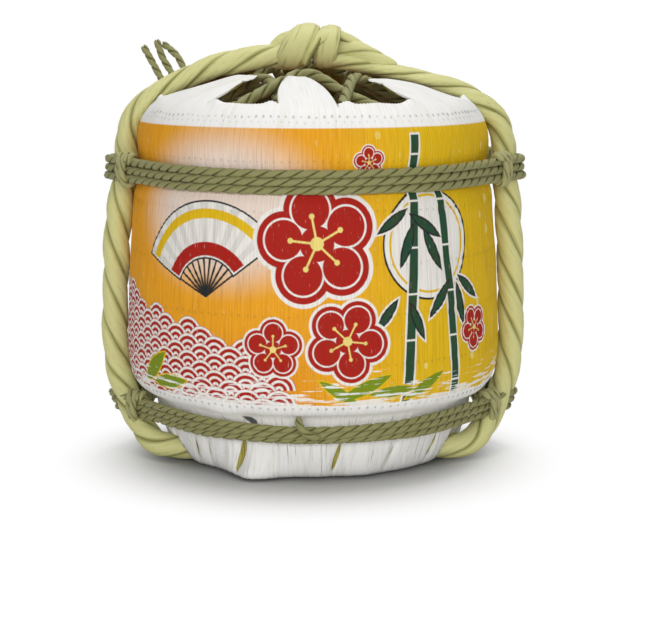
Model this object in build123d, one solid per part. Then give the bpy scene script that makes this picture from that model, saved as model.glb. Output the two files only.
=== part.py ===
"""A straw-wrapped cedar cask for rice wine, tied with a thick rope and thin twine.

Millimetres, +Z up. The origin is the middle of the base on the floor, and the front looks along -Y.
The cedar cask has staves, a bottom head, a lid with a bung, a tap plug and bamboo hoops. A woven straw
mat goes round it over straw packing. Its upper hem ends in six flaps, laced over the lid with twine.
One thick rope runs under the base, up both sides and into a knot on top, and two bands of twine, three
turns each, bind the rope against the mat.
"""
import os
from math import acos, atan2, cos, degrees, pi, radians, sin, sqrt, tan

from build123d import *

# Driving sizes of the cask
cask_mouth_radius = 84.0
cask_foot_radius = 76.0
cask_foot_height = 18.0
cask_height = 161.0
stave_thickness = 10.0
stave_count = 14
croze_depth = 3.0
head_thickness = 10.0
head_rise = 16.0
lid_thickness = 8.0
lid_drop = 11.0
chime_bevel = 2.5
cask_facets_per_stave = 1
head_board_count = 3
dowel_width = 3.0
dowel_length = 16.0
hoop_thickness = 4.0
hoop_width = 8.0
foot_hoop_rise = 4.0
mouth_hoop_drop = 19.0
bung_x = 14.0
bung_y = -10.0
bung_top_radius = 8.0
bung_tip_radius = 6.5
bung_length = 26.0
bung_stand = 8.0
peg_sides = 12
plug_height = 58.0
plug_outer_radius = 7.0
plug_inner_radius = 6.0
plug_inset = 1.0
plug_reach = 5.0

# Driving sizes of the mat
mat_wall = 2.6
mat_floor_radius = 66.0
mat_floor_opening = 46.0
skirt_radius = 84.0
skirt_height = 21.0
waist_radius = 85.5
belly_radius = 100.4
belly_height = 58.0
bulge_radius = 94.5
bulge_height = 38.0
swell_radius = 98.8
swell_height = 46.0
mat_side_count = 44
shoulder_radius = 92.6
shoulder_drop = 15.0
shoulder_swell = 1.2
rim_radius = 83.0
rim_rise = 8.0
rim_height = cask_foot_height + cask_height + rim_rise
crown_radius = 34.0
crown_rise = 17.0
crown_height = rim_height + crown_rise
shoulder_height = rim_height - shoulder_drop
dent_depth = 1.2
mouth_inset = 5.0
mouth_radius = rim_radius - mouth_inset
flap_tip_radius = 9.0
narrow_flap_angle = 9.0
wide_flap_angle = 20.0
flap_angle_step = 60.0
flap_count = 6
flap_azimuths = [flap_angle_step * k for k in range(flap_count)]

# Driving sizes of the cordage
rope_diameter = 15.0
rope_sides = 8
twine_diameter = 4.0
twine_sides = 4
lace_diameter = 5.5
band_turn_count = 3
band_gap = 0.5
upper_band_drop = 25.0
upper_band_height = cask_foot_height + cask_height - upper_band_drop
lower_band_height = 27.6
climb_half_angle = 20.0
frap_turn_count = 3
frap_diameter = 3.6
frap_gap = 0.7
frap_inset = 14.0
lace_apex_radius = 26.0
lace_apex_height = 203.0
lace_low_height = 182.4
lace_end_gap = 12.0
lace_kink = 1.1

# Driving sizes of the knot on top: three leaning turns, and the cut end that lies on the right
knot_turn_places = (-14.0, -1.5, 11.0)
knot_turn_radius = 13.0
knot_edge_radius = 9.5
knot_turn_width = 16.0
knot_crown_width = 7.0
knot_sides = 12
knot_lean_angle = 20.0
knot_height = 216.6
tail_diameter = 11.0

# Clearances, angles and shares
soft_gap = 0.3
bend_gap = 0.4
fit_gap = 0.1
overrun = 20.0
full_turn = 360.0
half_turn = full_turn / 2
quarter_turn = full_turn / 4
bend_share = 0.45
point_step = 2.0
straight_limit = 1e-9
frap_sides = 8
frap_climb_shares = (0.0, 0.0, 0.25, 0.25, 0.5, 0.5, 0.75, 0.75)

# The thick rope's route up its left side, from the knot down to the base, in the plane through the knot
rope_rise = rope_diameter / 2 + fit_gap
rope_route_side = [
    (15.0, 211.0),
    (34.0, 207.8),
    (60.0, 203.0),
    (83.5, 197.0),
    (98.0, 184.0),
    (102.4, 168.0),
    (101.6, 153.0),
    (105.2, 134.0),
    (107.8, 98.0),
    (108.8, 62.0),
    (108.0, 45.0),
    (105.0, 33.5),
    (100.5, 23.5),
    (93.0, 13.5),
    (83.5, rope_rise),
]

rope_top_side = [(x, z) for x, z in rope_route_side if z > rim_height - rope_diameter]

# The route of the thick rope's cut end, and those of the lacing's three cut ends, which stand up behind
# the thick rope on the left
tail_route = [(4.0, -3.0, 219.0), (20.0, -4.0, 222.0), (33.0, -4.5, 220.0), (42.0, -4.5, 215.5)]
tail_routes = [
    [(-74.0, 11.4, 188.0), (-76.5, 14.5, 199.5), (-81.5, 18.0, 209.0), (-88.0, 20.5, 217.5)],
    [(-68.6, 11.4, 191.0), (-72.0, 16.5, 201.0), (-79.0, 22.0, 209.5), (-88.5, 26.0, 216.0)],
    [(-63.2, 11.4, 192.5), (-65.5, 16.5, 202.0), (-70.5, 22.5, 211.5), (-78.0, 28.5, 219.5)],
]


def slope_radius(height):
    """Outer radius of the cask at a height."""
    share = (height - cask_foot_height) / cask_height
    return cask_foot_radius + (cask_mouth_radius - cask_foot_radius) * share


def interpolated(points, height):
    """The radius at a height along a list of (radius, height) points."""
    for (r0, z0), (r1, z1) in zip(points, points[1:]):
        if min(z0, z1) <= height <= max(z0, z1) and z0 != z1:
            return r0 + (r1 - r0) * (height - z0) / (z1 - z0)
    return points[0][0]


def at(radius, azimuth, height):
    """A point at a radius, an azimuth from the front and a height. Azimuths turn towards +X."""
    return Vector(radius * sin(radians(azimuth)), -radius * cos(radians(azimuth)), height)


def corners(radius, height, sides, first):
    """The corners of a regular section at a height, from a first azimuth on."""
    return [at(radius, first + full_turn * k / sides, height) for k in range(sides)]


def faceted(sections):
    """A flat-faced solid through stacked sections that have the same number of corners."""
    faces = [Face(Wire.make_polygon(sections[0])), Face(Wire.make_polygon(sections[-1]))]
    for low, high in zip(sections, sections[1:]):
        for k in range(len(low)):
            after = (k + 1) % len(low)
            faces.append(Face(Wire.make_polygon([low[k], low[after], high[after], high[k]])))
    return Solid(Shell(faces))


def turned(points, sides, first=0.0):
    """A many-sided solid about the Z axis through (radius, height) points, in flat panels."""
    return faceted([corners(radius, height, sides, first) for radius, height in points])


def corner_radii(points):
    """The fillet radius at each inner point of a route, by the shorter run and the turn there."""
    radii = []
    for a, b, c in zip(points, points[1:], points[2:]):
        run_in, run_out = Vector(*b) - Vector(*a), Vector(*c) - Vector(*b)
        turn = radians(run_in.get_angle(run_out))
        radii.append(bend_share * min(run_in.length, run_out.length) / tan(turn / 2))
    return radii


def tube(path, diameter, sides):
    """A tube with a many-sided section, as thick as the cord, along a path."""
    start = Plane(origin=path @ 0, z_dir=path % 0)
    section = start * RegularPolygon(diameter / 2, sides)
    return sweep(section, path)


def biarc(p0, t0, p1, t1):
    """Two arcs that join two points with given directions."""
    v, t = p1 - p0, t0 + t1
    bend = 2 * (1 - t0.dot(t1))
    if bend < straight_limit:
        d = v.dot(v) / (4 * v.dot(t1))
    else:
        d = (sqrt(v.dot(t) ** 2 + bend * v.dot(v)) - v.dot(t)) / bend
    middle = (p0 + p1 + (t0 - t1) * d) * 0.5
    first = TangentArc(p0, middle, tangent=t0)
    return [first, TangentArc(middle, p1, tangent=first % 1)]


def coopered(points):
    """A solid in flat panels whose corners lie on the joints between the staves."""
    return turned(points, stave_count * cask_facets_per_stave, half_turn / stave_count)


def inner_radius(height):
    return slope_radius(height) - stave_thickness


def stave_slice(height, bevel):
    """The section of the front stave at a height, thinned on the inside by a bevel."""
    wedge = full_turn / stave_count
    swings = [wedge * (k / cask_facets_per_stave - 0.5) for k in range(cask_facets_per_stave + 1)]
    outer = [at(slope_radius(height), swing, height) for swing in swings]
    inner = [at(inner_radius(height) + bevel, swing, height) for swing in reversed(swings)]
    return outer + inner


def groove(low, thickness):
    """What a head's groove takes out of the staves."""
    radius = inner_radius(low) + croze_depth
    return coopered([(radius, low), (radius, low + thickness + fit_gap)])


def make_staves():
    """The staves, one solid each, grooved for the head and the lid, with the tap hole in the front one."""
    top = cask_foot_height + cask_height
    slices = [
        stave_slice(cask_foot_height, 0),
        stave_slice(top - chime_bevel, 0),
        stave_slice(top, chime_bevel),
    ]
    board = faceted(slices)
    board -= groove(cask_foot_height + head_rise, head_thickness)
    board -= groove(lid_top() - lid_thickness, lid_thickness)
    staves = [board.rotate(Axis.Z, full_turn / stave_count * k) for k in range(stave_count)]
    staves[0] = staves[0] - tap_plug_shape(fit_gap, overrun)
    return staves


def peg(low_radius, high_radius, length):
    """A whittled, tapered peg along Z, centred on the origin."""
    return turned([(low_radius, -length / 2), (high_radius, length / 2)], peg_sides)


def tap_plug_shape(gap, extra):
    """The tapered plug of the tap hole, or its hole when it is given a gap and a longer reach."""
    outer = slope_radius(plug_height) * cos(pi / stave_count) - plug_inset
    length = stave_thickness + plug_reach - plug_inset
    flare = (plug_outer_radius - plug_inner_radius) / length * extra
    cone = peg(plug_inner_radius + gap - flare, plug_outer_radius + gap + flare, length + 2 * extra)
    return cone.rotate(Axis.X, quarter_turn).translate((0, length / 2 - outer, plug_height))


def head_disc(radius, low, thickness):
    """A round head cut into boards along Y, with a pair of square dowel holes across each joint."""
    boards = []
    width = 2 * radius / head_board_count
    disc = coopered([(radius, low), (radius, low + thickness)])
    joints = [-radius + width * k for k in range(1, head_board_count)]
    dowels = []
    for x in joints:
        for y in (-radius / 2, radius / 2):
            dowels.append((x, y, low + thickness / 2))
    holes = Compound([dowel(place, fit_gap) for place in dowels])
    for k in range(head_board_count):
        slab = Box(width, 2 * radius, 2 * thickness).translate((-radius + width * (k + 0.5), 0, low))
        slab = slab.translate((0, 0, thickness / 2))
        boards.append((disc & slab) - holes)
    pins = Compound([dowel(place, 0) for place in dowels])
    return boards, pins


def dowel(place, gap):
    """A square bamboo pin that lies along X."""
    side = dowel_width + 2 * gap
    return Box(dowel_length + 2 * gap, side, side).translate(place)


def make_bottom_head():
    low = cask_foot_height + head_rise
    radius = inner_radius(low) + croze_depth - fit_gap
    return head_disc(radius, low, head_thickness)


def lid_top():
    return cask_foot_height + cask_height - lid_drop


def make_lid():
    """The lid's boards, the middle one with the tapered bung hole, and their dowels."""
    low = lid_top() - lid_thickness
    radius = inner_radius(low) + croze_depth - fit_gap
    boards, pins = head_disc(radius, low, lid_thickness)
    hole = bung_shape(fit_gap)
    boards = [board - hole for board in boards]
    return boards, pins


def bung_shape(gap):
    """The tapered bung that closes the filling hole. It stands above the lid so that it can be gripped."""
    top = lid_top() + bung_stand
    cone = peg(bung_tip_radius + gap, bung_top_radius + gap, bung_length)
    return cone.translate((bung_x, bung_y, top - bung_length / 2))


def make_hoop(low):
    """A flat bamboo hoop that fits the slope of the staves."""
    high = low + hoop_width
    inner = [(slope_radius(z) + fit_gap, z) for z in (low, high)]
    outer = [(radius + hoop_thickness, z) for radius, z in inner]
    return coopered(outer) - coopered(inner)


def band_half():
    """Half the height of a band of twine."""
    return band_turn_count * (twine_diameter + band_gap) / 2


def face_radius(height):
    """The mat's outer radius at a height between its belly and its shoulder, without the band's dent."""
    share = (height - belly_height) / (shoulder_height - belly_height)
    return belly_radius - (belly_radius - shoulder_radius) * share


def dent_radius():
    """How deep the upper band presses into the mat."""
    return face_radius(upper_band_height + band_half()) - dent_depth


def mat_outline():
    """The mat's outer outline from its bottom edge up to the tips of its flaps."""
    dent_low = upper_band_height - band_half()
    dent_high = upper_band_height + band_half()
    return [
        (mat_floor_radius, 0),
        (skirt_radius, skirt_height),
        (waist_radius, lower_band_height + band_half()),
        (bulge_radius, bulge_height),
        (swell_radius, swell_height),
        (belly_radius, belly_height),
        (face_radius(dent_low - dent_depth), dent_low - dent_depth),
        (dent_radius(), dent_low),
        (dent_radius(), dent_high),
        (face_radius(dent_high + dent_depth), dent_high + dent_depth),
        (shoulder_radius, shoulder_height),
        ((shoulder_radius + rim_radius) / 2 + shoulder_swell, (shoulder_height + rim_height) / 2),
        (rim_radius, rim_height),
        (crown_radius, crown_height),
    ]


def mat_lining():
    """The mat's inner outline, one wall thickness inside the outer one."""
    return [
        (mat_floor_radius - mat_wall / 2, mat_wall),
        (skirt_radius - mat_wall, skirt_height),
        (waist_radius - mat_wall, lower_band_height + band_half() + mat_wall / 2),
        (bulge_radius - mat_wall, bulge_height + mat_wall),
        (belly_radius - mat_wall, belly_height),
        (shoulder_radius - dent_depth - mat_wall, shoulder_height),
        (rim_radius - mat_wall / 2, rim_height - mat_wall),
        (crown_radius, crown_height - mat_wall),
    ]


def flap_sketch(azimuth, half_angle):
    """One flap of the hem, seen from above: a rounded tip that widens to its root."""
    root = rim_radius
    half_root = root * tan(radians(half_angle))
    tip_middle = crown_radius + flap_tip_radius
    blade = make_face(
        Polyline(
            (tip_middle, -flap_tip_radius),
            (root, -half_root),
            (root, half_root),
            (tip_middle, flap_tip_radius),
            close=True,
        )
    )
    tip = Pos(tip_middle, 0) * Circle(flap_tip_radius)
    return (blade + tip).rotate(Axis.Z, azimuth - quarter_turn)


def rope_groove(diameter):
    """The room that the thick rope presses into the mat's foot and the packing, under the base."""
    reach = skirt_radius + bulge_radius
    bore = Cylinder(diameter / 2, 2 * reach).rotate(Axis.Y, quarter_turn).translate((0, 0, rope_rise))
    slot = Box(2 * reach, diameter, rope_rise).translate((0, 0, rope_rise / 2))
    return bore + slot


def make_mat():
    """The woven mat: one shell, with six flaps round its mouth and a groove for the rope underneath."""
    shell = turned(mat_outline(), mat_side_count) - turned(mat_lining(), mat_side_count)
    shell -= turned([(mat_floor_opening, 0), (mat_floor_opening, mat_wall)], mat_side_count)
    mouth = Circle(mouth_radius)
    for azimuth in flap_azimuths:
        mouth -= flap_sketch(azimuth, flap_half_angle(azimuth))
    floor = rim_height - mat_wall * 4
    opening = extrude(Pos(0, 0, floor) * mouth, crown_height - floor + overrun)
    return shell - opening - rope_groove(rope_diameter + 2 * soft_gap)


def make_belly_packing():
    """The straw that fills the mat's belly between the lower hoop and the upper hoop."""
    low = bulge_height + mat_wall + soft_gap + hoop_thickness
    high = upper_hoop_low() - soft_gap
    outer = belly_radius - mat_wall - 2 * soft_gap
    share = (high - belly_height) / (shoulder_height - belly_height)
    outer_high = outer - (belly_radius - shoulder_radius + dent_depth) * share
    outside = [(bulge_radius - mat_wall, low), (outer, belly_height), (outer_high, high)]
    inside = [(slope_radius(z) + soft_gap, z) for z in (low, high)]
    return turned(outside, mat_side_count) - coopered(inside)


def make_foot_packing():
    """The straw ring that the cask stands on, with the groove where the thick rope passes under it."""
    low = mat_wall + soft_gap
    high = cask_foot_height - soft_gap
    share = (high - mat_wall) / (skirt_height - mat_wall)
    outer_low = mat_floor_radius - mat_wall
    outer_high = outer_low + (skirt_radius - mat_floor_radius) * share - 2 * soft_gap
    packing = turned([(outer_low, low), (outer_high, high)], mat_side_count)
    packing -= turned([(mat_floor_opening, low), (mat_floor_opening, high)], mat_side_count)
    return packing - rope_groove(rope_diameter + 2 * soft_gap)


def upper_hoop_low():
    return upper_band_height - band_half() - hoop_width


def rope_points():
    """The whole route of the thick rope, from the knot down the left side, under the base and up."""
    left = [(-x, 0, z) for x, z in rope_route_side]
    right = [(x, 0, z) for x, z in reversed(rope_route_side)]
    return left + right


def make_rope():
    """The thick rope with the knot that closes it on top, and the knot's cut tail."""
    points = rope_points()
    path = FilletPolyline(*points, radius=corner_radii(points))
    rope = tube(path, rope_diameter, rope_sides)
    section = RegularPolygon(rope_diameter / 2, rope_sides).area
    print("thick rope", round(path.length, 1), "mm, volume share", round(rope.volume / section / path.length, 4))
    return rope + knot_shape()


def knot_shape():
    """Three leaning turns of the rope round its own two ends, and the cut end lying on the right."""
    edge, crown = knot_turn_width / 2, knot_crown_width / 2
    profile = [
        (knot_edge_radius, -edge),
        (knot_turn_radius, -crown),
        (knot_turn_radius, crown),
        (knot_edge_radius, edge),
    ]
    roll = turned(profile, knot_sides).rotate(Axis.Y, quarter_turn + knot_lean_angle)
    rolls = [roll.translate((x, 0, knot_height)) for x in knot_turn_places]
    tail_path = FilletPolyline(*tail_route, radius=corner_radii(tail_route))
    return rolls[0] + rolls[1:] + tube(tail_path, tail_diameter, rope_sides)


def rope_offset(height):
    """How far out the thick rope's middle lies at a height, on either side."""
    return interpolated(rope_route_side, height)


def band_turn(radius, height, route_radius):
    """One turn of a band: where it touches the mat and the rope, as an angle and two lengths."""
    offset = rope_offset(height)
    swing = degrees(acos((radius - route_radius) / offset))
    return offset, swing


def band_path(radius, middle, wrap_radius):
    """Three turns of twine round the mat, pulled tight over the outside of the rope on both sides.

    Each turn is level along the front and round both ropes, and climbs by one twine along the back.
    """
    pitch = twine_diameter + band_gap
    pieces = []
    for k in range(band_turn_count):
        z = middle + pitch * (k - (band_turn_count - 1) / 2)
        offset, swing = band_turn(radius, z, wrap_radius)
        lean = radians(swing)

        def on_mat(azimuth):
            return at(radius, azimuth, z)

        def on_rope(side, sign):
            x = side * (offset + wrap_radius * cos(lean))
            return Vector(x, -sign * wrap_radius * sin(lean), z)

        back = half_turn - climb_half_angle
        start = on_mat(-back)
        if k == 0:
            along = at(1, -back + quarter_turn, 0)
            pieces.append(Line(start - along * twine_diameter, start))
        left, right = -quarter_turn, quarter_turn
        pieces.append(ThreePointArc(start, on_mat((left - swing - back) / 2), on_mat(left - swing)))
        pieces.append(Line(on_mat(left - swing), on_rope(-1, -1)))
        outside = Vector(-offset - wrap_radius, 0, z)
        pieces.append(ThreePointArc(on_rope(-1, -1), outside, on_rope(-1, 1)))
        pieces.append(Line(on_rope(-1, 1), on_mat(left + swing)))
        pieces.append(ThreePointArc(on_mat(left + swing), on_mat(0), on_mat(right - swing)))
        pieces.append(Line(on_mat(right - swing), on_rope(1, 1)))
        outside = Vector(offset + wrap_radius, 0, z)
        pieces.append(ThreePointArc(on_rope(1, 1), outside, on_rope(1, -1)))
        pieces.append(Line(on_rope(1, -1), on_mat(right + swing)))
        end = on_mat(back)
        pieces.append(ThreePointArc(on_mat(right + swing), on_mat((right + swing + back) / 2), end))
        if k == band_turn_count - 1:
            along = at(1, back + quarter_turn, 0)
            pieces.append(Line(end, end + along * twine_diameter))
        else:
            up = Vector(0, 0, pitch)
            pieces += biarc(end, at(1, back + quarter_turn, 0), on_mat(-back) + up, at(1, -back + quarter_turn, 0))
    return Wire([edge for piece in pieces for edge in piece.edges()])


def least_self_gap(path, diameter, skip):
    """The smallest gap of a tube to itself, measured between points along its path."""
    count = int(path.length / point_step)
    points = [path @ (k / count) for k in range(count + 1)]
    step = path.length / count
    near = int(skip / step) + 1
    least = path.length
    for i, p in enumerate(points):
        for q in points[i + near :]:
            least = min(least, (p - q).length)
    return least - diameter


def make_band(name, radius, middle, wrap_radius):
    """One band of twine."""
    path = band_path(radius, middle, wrap_radius)
    band = tube(path, twine_diameter, twine_sides)
    gap = least_self_gap(path, twine_diameter, pi * twine_diameter)
    print(name, "length", round(path.length), "mm, least gap to itself", round(gap, 2), "mm")
    return band


def frap_loop(bend, half_stack):
    """One loop round a band's strands, as (outward, upward, share of the climb) steps in eight corners."""
    flat = bend * tan(pi / frap_sides)
    top = half_stack + bend
    places = [(bend, -half_stack), (bend, half_stack), (flat, top), (-flat, top)]
    places += [(-outward, -upward) for outward, upward in places]
    return [(*place, climb) for place, climb in zip(places, frap_climb_shares)]


def frap_coil(radius, middle, wrap_radius, side, sign):
    """A small coil of twine that draws a band's strands together just beside the rope."""
    offset, swing = band_turn(radius, middle, wrap_radius)
    lean = radians(swing)
    out = Vector(side * cos(lean), -sign * sin(lean), 0)
    along = Vector(side * sin(lean), sign * cos(lean), 0)
    up = Vector(0, 0, 1)
    rope_touch = Vector(side * offset, 0, middle) + out * wrap_radius
    pitch = frap_diameter + frap_gap
    half_stack = (band_turn_count - 1) * (twine_diameter + band_gap) / 2
    drifts = [abs(rope_offset(middle + step) - offset) for step in (-half_stack, half_stack)]
    skew = max(drifts) * cos(lean)
    bend = twine_diameter / 2 + soft_gap + frap_diameter / 2 + skew
    first = rope_touch - along * (frap_inset + pitch * frap_turn_count / 2)
    route = []
    for k in range(frap_turn_count):
        for outward, upward, climb in frap_loop(bend, half_stack):
            route.append(first + out * outward + up * upward + along * (pitch * (k + climb)))
    route = route[:-2]
    path = Polyline(*route)
    start = Plane(origin=path @ 0, z_dir=path % 0)
    section = start * RegularPolygon(frap_diameter / 2, twine_sides)
    return path, sweep(section, path, transition=Transition.RIGHT)


def make_lashings(name, radius, middle, wrap_radius):
    """The four coils that draw one band in beside the rope, in front and behind on both sides."""
    coils = []
    for side in (-1, 1):
        for sign in (-1, 1):
            path, coil = frap_coil(radius, middle, wrap_radius, side, sign)
            coils.append(coil)
    gap = least_self_gap(path, frap_diameter, pi * frap_diameter)
    print(name, "coil length", round(path.length), "mm, least gap to itself", round(gap, 2), "mm")
    return Compound(coils)


def flap_half_angle(azimuth):
    return wide_flap_angle if azimuth % half_turn else narrow_flap_angle


def crossing(azimuth, corner, other, other_corner):
    """Where two lacing strands cross in a gap of the hem, seen from above."""
    a, b = at(lace_apex_radius, azimuth, 0), at(mouth_radius, corner, 0)
    c, d = at(lace_apex_radius, other, 0), at(mouth_radius, other_corner, 0)
    u, v = b - a, d - c
    share = ((c - a).X * v.Y - (c - a).Y * v.X) / (u.X * v.Y - u.Y * v.X)
    return a + u * share, share


def crossing_height(place, share, over):
    """The height of the upper or lower strand at a crossing, under the thick rope where that passes."""
    apart = (lace_diameter + soft_gap) / 2 + lace_kink
    middle = lace_apex_height + (lace_low_height - lace_apex_height) * share
    if abs(place.Y) < rope_diameter:
        under = interpolated([(z, x) for x, z in rope_top_side], abs(place.X))
        middle = under - rope_diameter / 2 - lace_diameter / 2 - soft_gap - apart
    return middle + apart if over else middle - apart


def lace_route(azimuths):
    """One lacing: over a gap to behind a flap's tip, over the next gap and under the next flap, and on."""
    route = []
    for azimuth in azimuths:
        before, after = azimuth - flap_angle_step, azimuth + flap_angle_step
        far_before = before + flap_half_angle(before)
        near_before = azimuth - flap_half_angle(azimuth)
        near_after = azimuth + flap_half_angle(azimuth)
        far_after = after - flap_half_angle(after)
        first, share = crossing(azimuth, far_before, before, near_before)
        first_height = crossing_height(first, share, True)
        second, share = crossing(azimuth, far_after, after, near_after)
        second_height = crossing_height(second, share, False)
        route.append(at(mouth_radius, far_before, lace_low_height))
        route.append(Vector(first.X, first.Y, first_height))
        route.append(at(lace_apex_radius, azimuth, lace_apex_height))
        route.append(Vector(second.X, second.Y, second_height))
        route.append(at(mouth_radius, far_after, lace_low_height))
        if flap_half_angle(after) == wide_flap_angle:
            route.append(at(mouth_radius, after, lace_low_height))
    return route


def make_lacing(name, azimuths):
    """A twine that laces the flaps down over the lid. Its two ends meet under a flap."""
    route = lace_route(azimuths)
    towards = (route[0] - route[-1]).normalized()
    route.append(route[0] - towards * lace_end_gap / 2)
    path = FilletPolyline(*route, radius=corner_radii(route))
    lacing = tube(path, lace_diameter, twine_sides)
    print(name, "length", round(path.length), "mm")
    return lacing


def make_tails():
    tails = []
    for route in tail_routes:
        path = FilletPolyline(*route, radius=corner_radii(route))
        tails.append(tube(path, twine_diameter, twine_sides))
    return tails


def main():
    os.makedirs("parts", exist_ok=True)
    parts = {}
    for k, stave in enumerate(make_staves()):
        parts[f"stave_{k + 1:02d}"] = stave
    boards, pins = make_bottom_head()
    for k, board in enumerate(boards):
        parts[f"bottom_board_{k + 1}"] = board
    parts["bottom_dowels"] = pins
    boards, pins = make_lid()
    for k, board in enumerate(boards):
        parts[f"lid_board_{k + 1}"] = board
    parts["lid_dowels"] = pins
    parts["lid_bung"] = bung_shape(0)
    parts["tap_plug"] = tap_plug_shape(0, 0)
    foot_hoop_low = cask_foot_height + foot_hoop_rise
    parts["foot_hoop"] = make_hoop(foot_hoop_low)
    parts["lower_hoop"] = make_hoop(foot_hoop_low + hoop_width + soft_gap)
    parts["upper_hoop"] = make_hoop(upper_hoop_low())
    parts["mouth_hoop"] = make_hoop(cask_foot_height + cask_height - mouth_hoop_drop)
    parts["straw_mat"] = make_mat()
    parts["belly_packing"] = make_belly_packing()
    parts["foot_packing"] = make_foot_packing()
    parts["main_rope"] = make_rope()
    twine_out = soft_gap + twine_diameter / 2
    upper_radius = dent_radius() + twine_out
    lower_radius = waist_radius + twine_out
    upper_wrap = rope_diameter / 2 + bend_gap + twine_out
    tilt = atan2(
        rope_offset(lower_band_height + band_half()) - rope_offset(lower_band_height - band_half()),
        2 * band_half(),
    )
    lower_wrap = rope_diameter / 2 / cos(tilt) + twine_out
    parts["upper_band"] = make_band("upper band", upper_radius, upper_band_height, upper_wrap)
    parts["lower_band"] = make_band("lower band", lower_radius, lower_band_height, lower_wrap)
    parts["upper_lashings"] = make_lashings("upper lashing", upper_radius, upper_band_height, upper_wrap)
    parts["lower_lashings"] = make_lashings("lower lashing", lower_radius, lower_band_height, lower_wrap)
    parts["flap_lacing_a"] = make_lacing("flap lacing a", flap_azimuths[0::2])
    parts["flap_lacing_b"] = make_lacing("flap lacing b", flap_azimuths[1::2])
    for k, tail in enumerate(make_tails()):
        parts[f"cord_tail_{k + 1}"] = tail
    for name, shape in parts.items():
        export_step(shape, f"parts/{name}.step")


main()
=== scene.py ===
# %% [markdown]
# # A straw-wrapped cask in Blender
#
# A small cask of rice wine: a cedar cask in a white woven straw mat, tied with one thick rope and two bands
# of thin twine. The CAD model gives every piece its place. This script loads it as a fixed frame and
# dresses it, piece by piece. Blender's lengths are metres, so sizes in millimetres are multiplied by mm.

# %% Load the frame
from functools import reduce
from itertools import groupby
from math import atan2, cos, exp, hypot, pi, radians, sin, tau

import bmesh
import bpy
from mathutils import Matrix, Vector, noise


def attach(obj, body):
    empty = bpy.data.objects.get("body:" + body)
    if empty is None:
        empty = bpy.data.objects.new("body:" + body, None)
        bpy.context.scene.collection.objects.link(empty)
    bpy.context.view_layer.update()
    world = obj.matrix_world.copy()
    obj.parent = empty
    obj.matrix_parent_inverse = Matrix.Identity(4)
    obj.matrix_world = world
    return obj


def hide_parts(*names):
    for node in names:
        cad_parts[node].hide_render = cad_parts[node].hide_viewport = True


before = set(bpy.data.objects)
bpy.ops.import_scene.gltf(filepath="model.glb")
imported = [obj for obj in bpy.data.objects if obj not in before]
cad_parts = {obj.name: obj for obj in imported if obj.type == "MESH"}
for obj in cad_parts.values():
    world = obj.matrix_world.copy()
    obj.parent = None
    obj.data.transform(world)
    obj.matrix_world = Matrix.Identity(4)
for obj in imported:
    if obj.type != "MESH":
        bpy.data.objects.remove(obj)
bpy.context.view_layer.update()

mm = 0.001

# %% [markdown]
# ## The camera and the studio
#
# The camera comes first, because every later choice is judged through it. The photograph looks at the
# cask from about a metre away and a little above, through a long lens that hardly bends straight lines.

# %% Place the camera
scene = bpy.context.scene
scene.view_settings.view_transform = "Standard"
camera_data = bpy.data.cameras.new("camera")
camera_data.lens = 97.7
camera_data.sensor_width = 36
camera = bpy.data.objects.new("camera", camera_data)
camera.location = (0, -0.972, 0.233)
camera.rotation_euler = (radians(80.8), 0, radians(-0.65))
scene.collection.objects.link(camera)
scene.camera = camera
print("camera at", tuple(round(c, 3) for c in camera.location))


# %% [markdown]
# ## Short ways to write shader nodes
#
# A finish is a small network of nodes. A helper class adds a node, sets it and links it in one call. Sums
# of values make Math nodes by themselves, which keeps a pattern's formula readable.

# %% Helpers for finishes
def linear(red, green, blue):
    """The shader's colour for a colour that is written as 0 to 255 per channel."""
    shares = [v / 255 for v in (red, green, blue)]
    return (*[v / 12.92 if v <= 0.04045 else ((v + 0.055) / 1.055) ** 2.4 for v in shares], 1)


def operator(operation, swapped=False):
    """An operator of a Value, which adds one Math node."""
    def apply(self, other):
        return self.finish.calc(operation, *((other, self) if swapped else (self, other)))
    return apply


class Value:
    """A number that varies over a surface: the output of one node of a finish."""

    def __init__(self, finish, socket):
        self.finish, self.socket = finish, socket

    __add__ = __radd__ = operator("ADD")
    __mul__ = __rmul__ = operator("MULTIPLY")
    __sub__, __rsub__ = operator("SUBTRACT"), operator("SUBTRACT", swapped=True)
    __truediv__ = operator("DIVIDE")


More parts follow.
